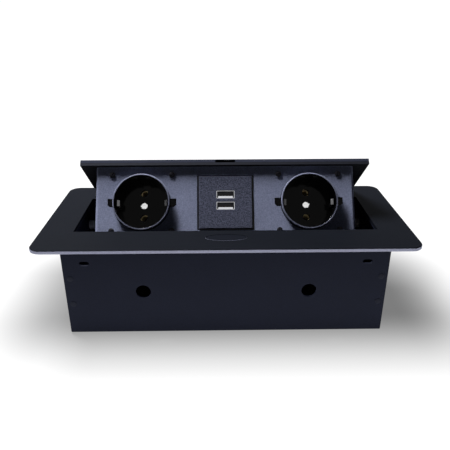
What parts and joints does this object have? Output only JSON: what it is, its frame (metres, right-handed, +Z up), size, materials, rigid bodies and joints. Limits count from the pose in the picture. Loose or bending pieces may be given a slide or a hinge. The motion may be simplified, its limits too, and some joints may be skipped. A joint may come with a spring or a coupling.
{
  "type": "in-desk power module",
  "caption": "Desk-mounted power module: a black flange over a steel box, and a lid that swings up on a hinge to show earthed sockets and charging ports.",
  "frame": {"origin": "on the resting face of the box, at the middle of the whole outline seen from above (carriage open)", "axes": "+X along the front edge to the right, +Y away from the user, +Z up out of the desk"},
  "size_m": [0.265, 0.12, 0.1222],
  "materials": {
    "black_coat": "matt fine-textured powder coat, black with a slight blue tint",
    "grey_coat": "fine powder coat, lavender grey",
    "bare_steel": "zinc plated, dull",
    "nickel": "nickel plated, bright",
    "black_steel": "blackened, satin",
    "black_gloss": "glossy moulded",
    "black_plastic": "moulded, matt",
    "grey_plastic": "grained",
    "white_plastic": "moulded, satin",
    "green_board": "lacquered circuit board",
    "brass": "bright",
    "rubber": "matt"
  },
  "bodies": {
    "housing": {"desk_flange": "black_coat", "box_wrap": "black_coat", "end_plate_left": "black_coat", "end_plate_right": "black_coat", "box_rivets": "black_steel", "pivot_pin_left": "nickel", "pivot_pin_right": "nickel", "pivot_sleeve_left": "white_plastic", "pivot_sleeve_right": "white_plastic", "torsion_spring_left": "bare_steel", "torsion_spring_right": "bare_steel", "stop_bumpers": "rubber", "latch_guide": "bare_steel", "guide_screws": "nickel", "cable_bushing": "rubber", "terminal_block": "white_plastic", "terminal_screws": "nickel", "latch_spring": "bare_steel"},
    "carriage": {"lid_cover": "black_coat", "lid_backing": "bare_steel", "socket_panel": "grey_coat", "lid_screws": "nickel", "pivot_clips": "bare_steel", "socket_dish_left": "black_gloss", "socket_dish_right": "black_gloss", "earth_clip_left": "nickel", "earth_clip_right": "nickel", "contact_carrier_left": "black_plastic", "contact_carrier_right": "black_plastic", "contact_sleeves_left": "brass", "contact_sleeves_right": "brass", "socket_centre_screws": "nickel", "panel_screws": "black_steel", "usb_bezel": "grey_plastic", "usb_housing": "black_plastic", "usb_port_shells": "nickel", "usb_contact_tongues": "black_plastic", "usb_board": "green_board", "back_cover": "grey_coat", "cover_screws": "black_steel"},
    "push_plate": {"push_plate": "black_plastic"},
    "latch": {"latch_slide": "black_plastic"}
  },
  "joints": [
    {"name": "carriage_swing", "type": "hinge", "parent": "housing", "child": "carriage", "pos_m": [0, 0.043, 0.0532], "axis": [1, 0, 0], "range_deg": [0, 41.5], "stiffness_Nm_per_rad": 0.35, "springref_deg": -68.75, "deforming": ["torsion_spring_left", "torsion_spring_right"]},
    {"name": "push_plate_press", "type": "slide", "parent": "housing", "child": "push_plate", "axis": [0, 0, -1], "range_m": [0, 0.0016], "stiffness_N_per_m": 300, "springref_m": -0.0005},
    {"name": "latch_slide_draw", "type": "slide", "parent": "housing", "child": "latch", "axis": [0, -1, 0], "range_m": [0, 0.0016], "deforming": ["latch_spring"]}
  ],
  "couplings": [
    {"joint": "push_plate_press", "follows": "latch_slide_draw", "ratio": 1}
  ]
}
